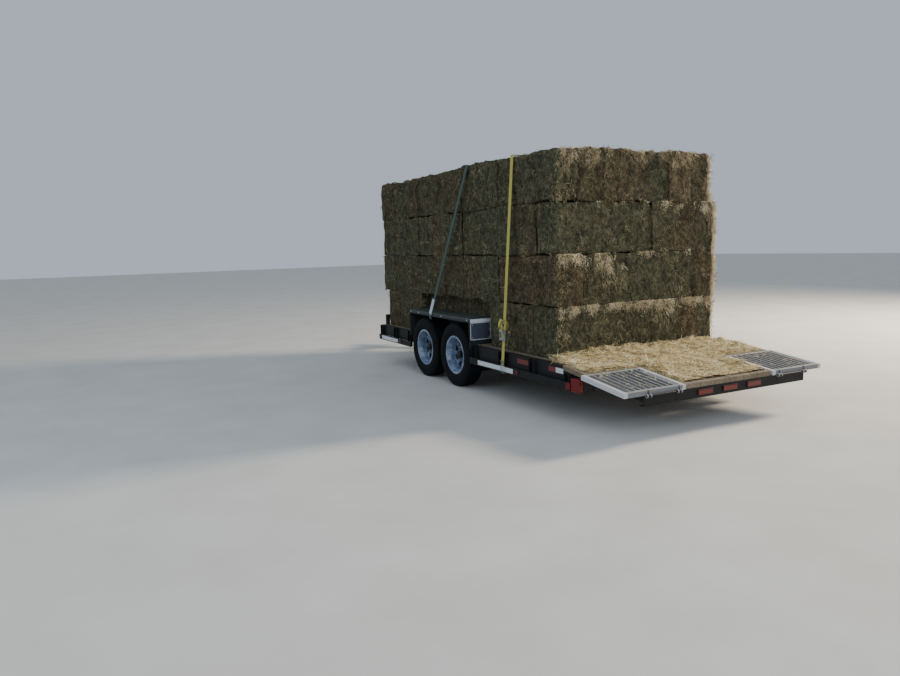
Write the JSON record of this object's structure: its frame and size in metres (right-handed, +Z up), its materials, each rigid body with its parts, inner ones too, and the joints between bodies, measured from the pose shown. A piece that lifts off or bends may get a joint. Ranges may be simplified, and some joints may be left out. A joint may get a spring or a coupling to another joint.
{
  "type": "hay wagon",
  "caption": "Low tandem-axle flatbed hay trailer with fender wells, fold-over loading ramps, jack and a strapped load of hay bales.",
  "frame": {"origin": "on the ground midway between the axles, which is also the middle of the overall length", "axes": "+X right, +Y towards the coupler, +Z up"},
  "size_m": [2.6034, 7.12, 2.6762],
  "materials": {
    "tyre_rubber": "matt black rubber",
    "wheel_white": "white enamel",
    "hub_cast": "dark cast iron",
    "axle_steel": "black paint",
    "black_steel": "black enamel, dusty",
    "ramp_steel": "worn black paint",
    "spring_steel": "dark oxide",
    "boards": "weathered treated pine",
    "hay": "baled hay, matt",
    "straw": "loose straw, matt",
    "flap_rubber": "matt rubber",
    "plate_white": "blank plate with a pale frame",
    "red_lens": "moulded red lens",
    "tape_white": "reflective tape, white and red",
    "strap_yellow": "woven polyester webbing",
    "strap_green": "woven polyester webbing",
    "ratchet_zinc": "zinc plated",
    "chain_zinc": "zinc plated",
    "jack_zinc": "zinc plated",
    "coupler_cast": "black cast steel"
  },
  "bodies": {
    "trailer": {"axle_front": "axle_steel", "axle_rear": "axle_steel", "coupler": "coupler_cast", "crossmembers": "black_steel", "deck_boards": "boards", "dovetail_boards": "boards", "dovetail_frame": "black_steel", "fender_left": "black_steel", "fender_right": "black_steel", "front_rail": "black_steel", "green_strap": "strap_green", "hay_layer_1": "hay", "hay_layer_2": "hay", "hay_layer_3": "hay", "hay_layer_4": "hay", "jack_plate": "black_steel", "jack_tube": "black_steel", "leaf_springs": "spring_steel", "loose_hay": "straw", "main_beams": "black_steel", "marker_lights": "red_lens", "mudflaps": "flap_rubber", "reflective_tape": "tape_white", "rub_rails": "black_steel", "safety_chains": "chain_zinc", "side_rails": "black_steel", "sign_plates": "plate_white", "spring_hangers": "black_steel", "stake_pockets": "black_steel", "strap_ratchet": "ratchet_zinc", "tail_lights": "red_lens", "tongue_nose": "black_steel", "tongue_rails": "black_steel", "yellow_strap": "strap_yellow"},
    "wheel_front_left": {"tyre_front_left": "tyre_rubber", "rim_front_left": "wheel_white", "hub_front_left": "hub_cast"},
    "wheel_front_right": {"tyre_front_right": "tyre_rubber", "rim_front_right": "wheel_white", "hub_front_right": "hub_cast"},
    "wheel_rear_left": {"tyre_rear_left": "tyre_rubber", "rim_rear_left": "wheel_white", "hub_rear_left": "hub_cast"},
    "wheel_rear_right": {"tyre_rear_right": "tyre_rubber", "rim_rear_right": "wheel_white", "hub_rear_right": "hub_cast"},
    "ramp_left": {"ramp_left": "ramp_steel"},
    "ramp_right": {"ramp_right": "ramp_steel"},
    "jack_leg": {"jack_leg": "jack_zinc"}
  },
  "joints": [
    {"name": "spin_front_left", "type": "hinge", "parent": "trailer", "child": "wheel_front_left", "pos_m": [-1.1695, 0.425, 0.3925], "axis": [1, 0, 0], "continuous": true},
    {"name": "spin_front_right", "type": "hinge", "parent": "trailer", "child": "wheel_front_right", "pos_m": [1.1695, 0.425, 0.3925], "axis": [1, 0, 0], "continuous": true},
    {"name": "spin_rear_left", "type": "hinge", "parent": "trailer", "child": "wheel_rear_left", "pos_m": [-1.1695, -0.425, 0.3925], "axis": [1, 0, 0], "continuous": true},
    {"name": "spin_rear_right", "type": "hinge", "parent": "trailer", "child": "wheel_rear_right", "pos_m": [1.1695, -0.425, 0.3925], "axis": [1, 0, 0], "continuous": true},
    {"name": "fold_ramp_left", "type": "hinge", "parent": "trailer", "child": "ramp_left", "pos_m": [-0.93, -3.545, 0.398], "axis": [1, 0, 0], "range_deg": [0, 207]},
    {"name": "fold_ramp_right", "type": "hinge", "parent": "trailer", "child": "ramp_right", "pos_m": [0.93, -3.545, 0.398], "axis": [1, 0, 0], "range_deg": [0, 207]},
    {"name": "jack_slide", "type": "slide", "parent": "trailer", "child": "jack_leg", "axis": [0, 0, 1], "range_m": [0, 0.35]}
  ]
}
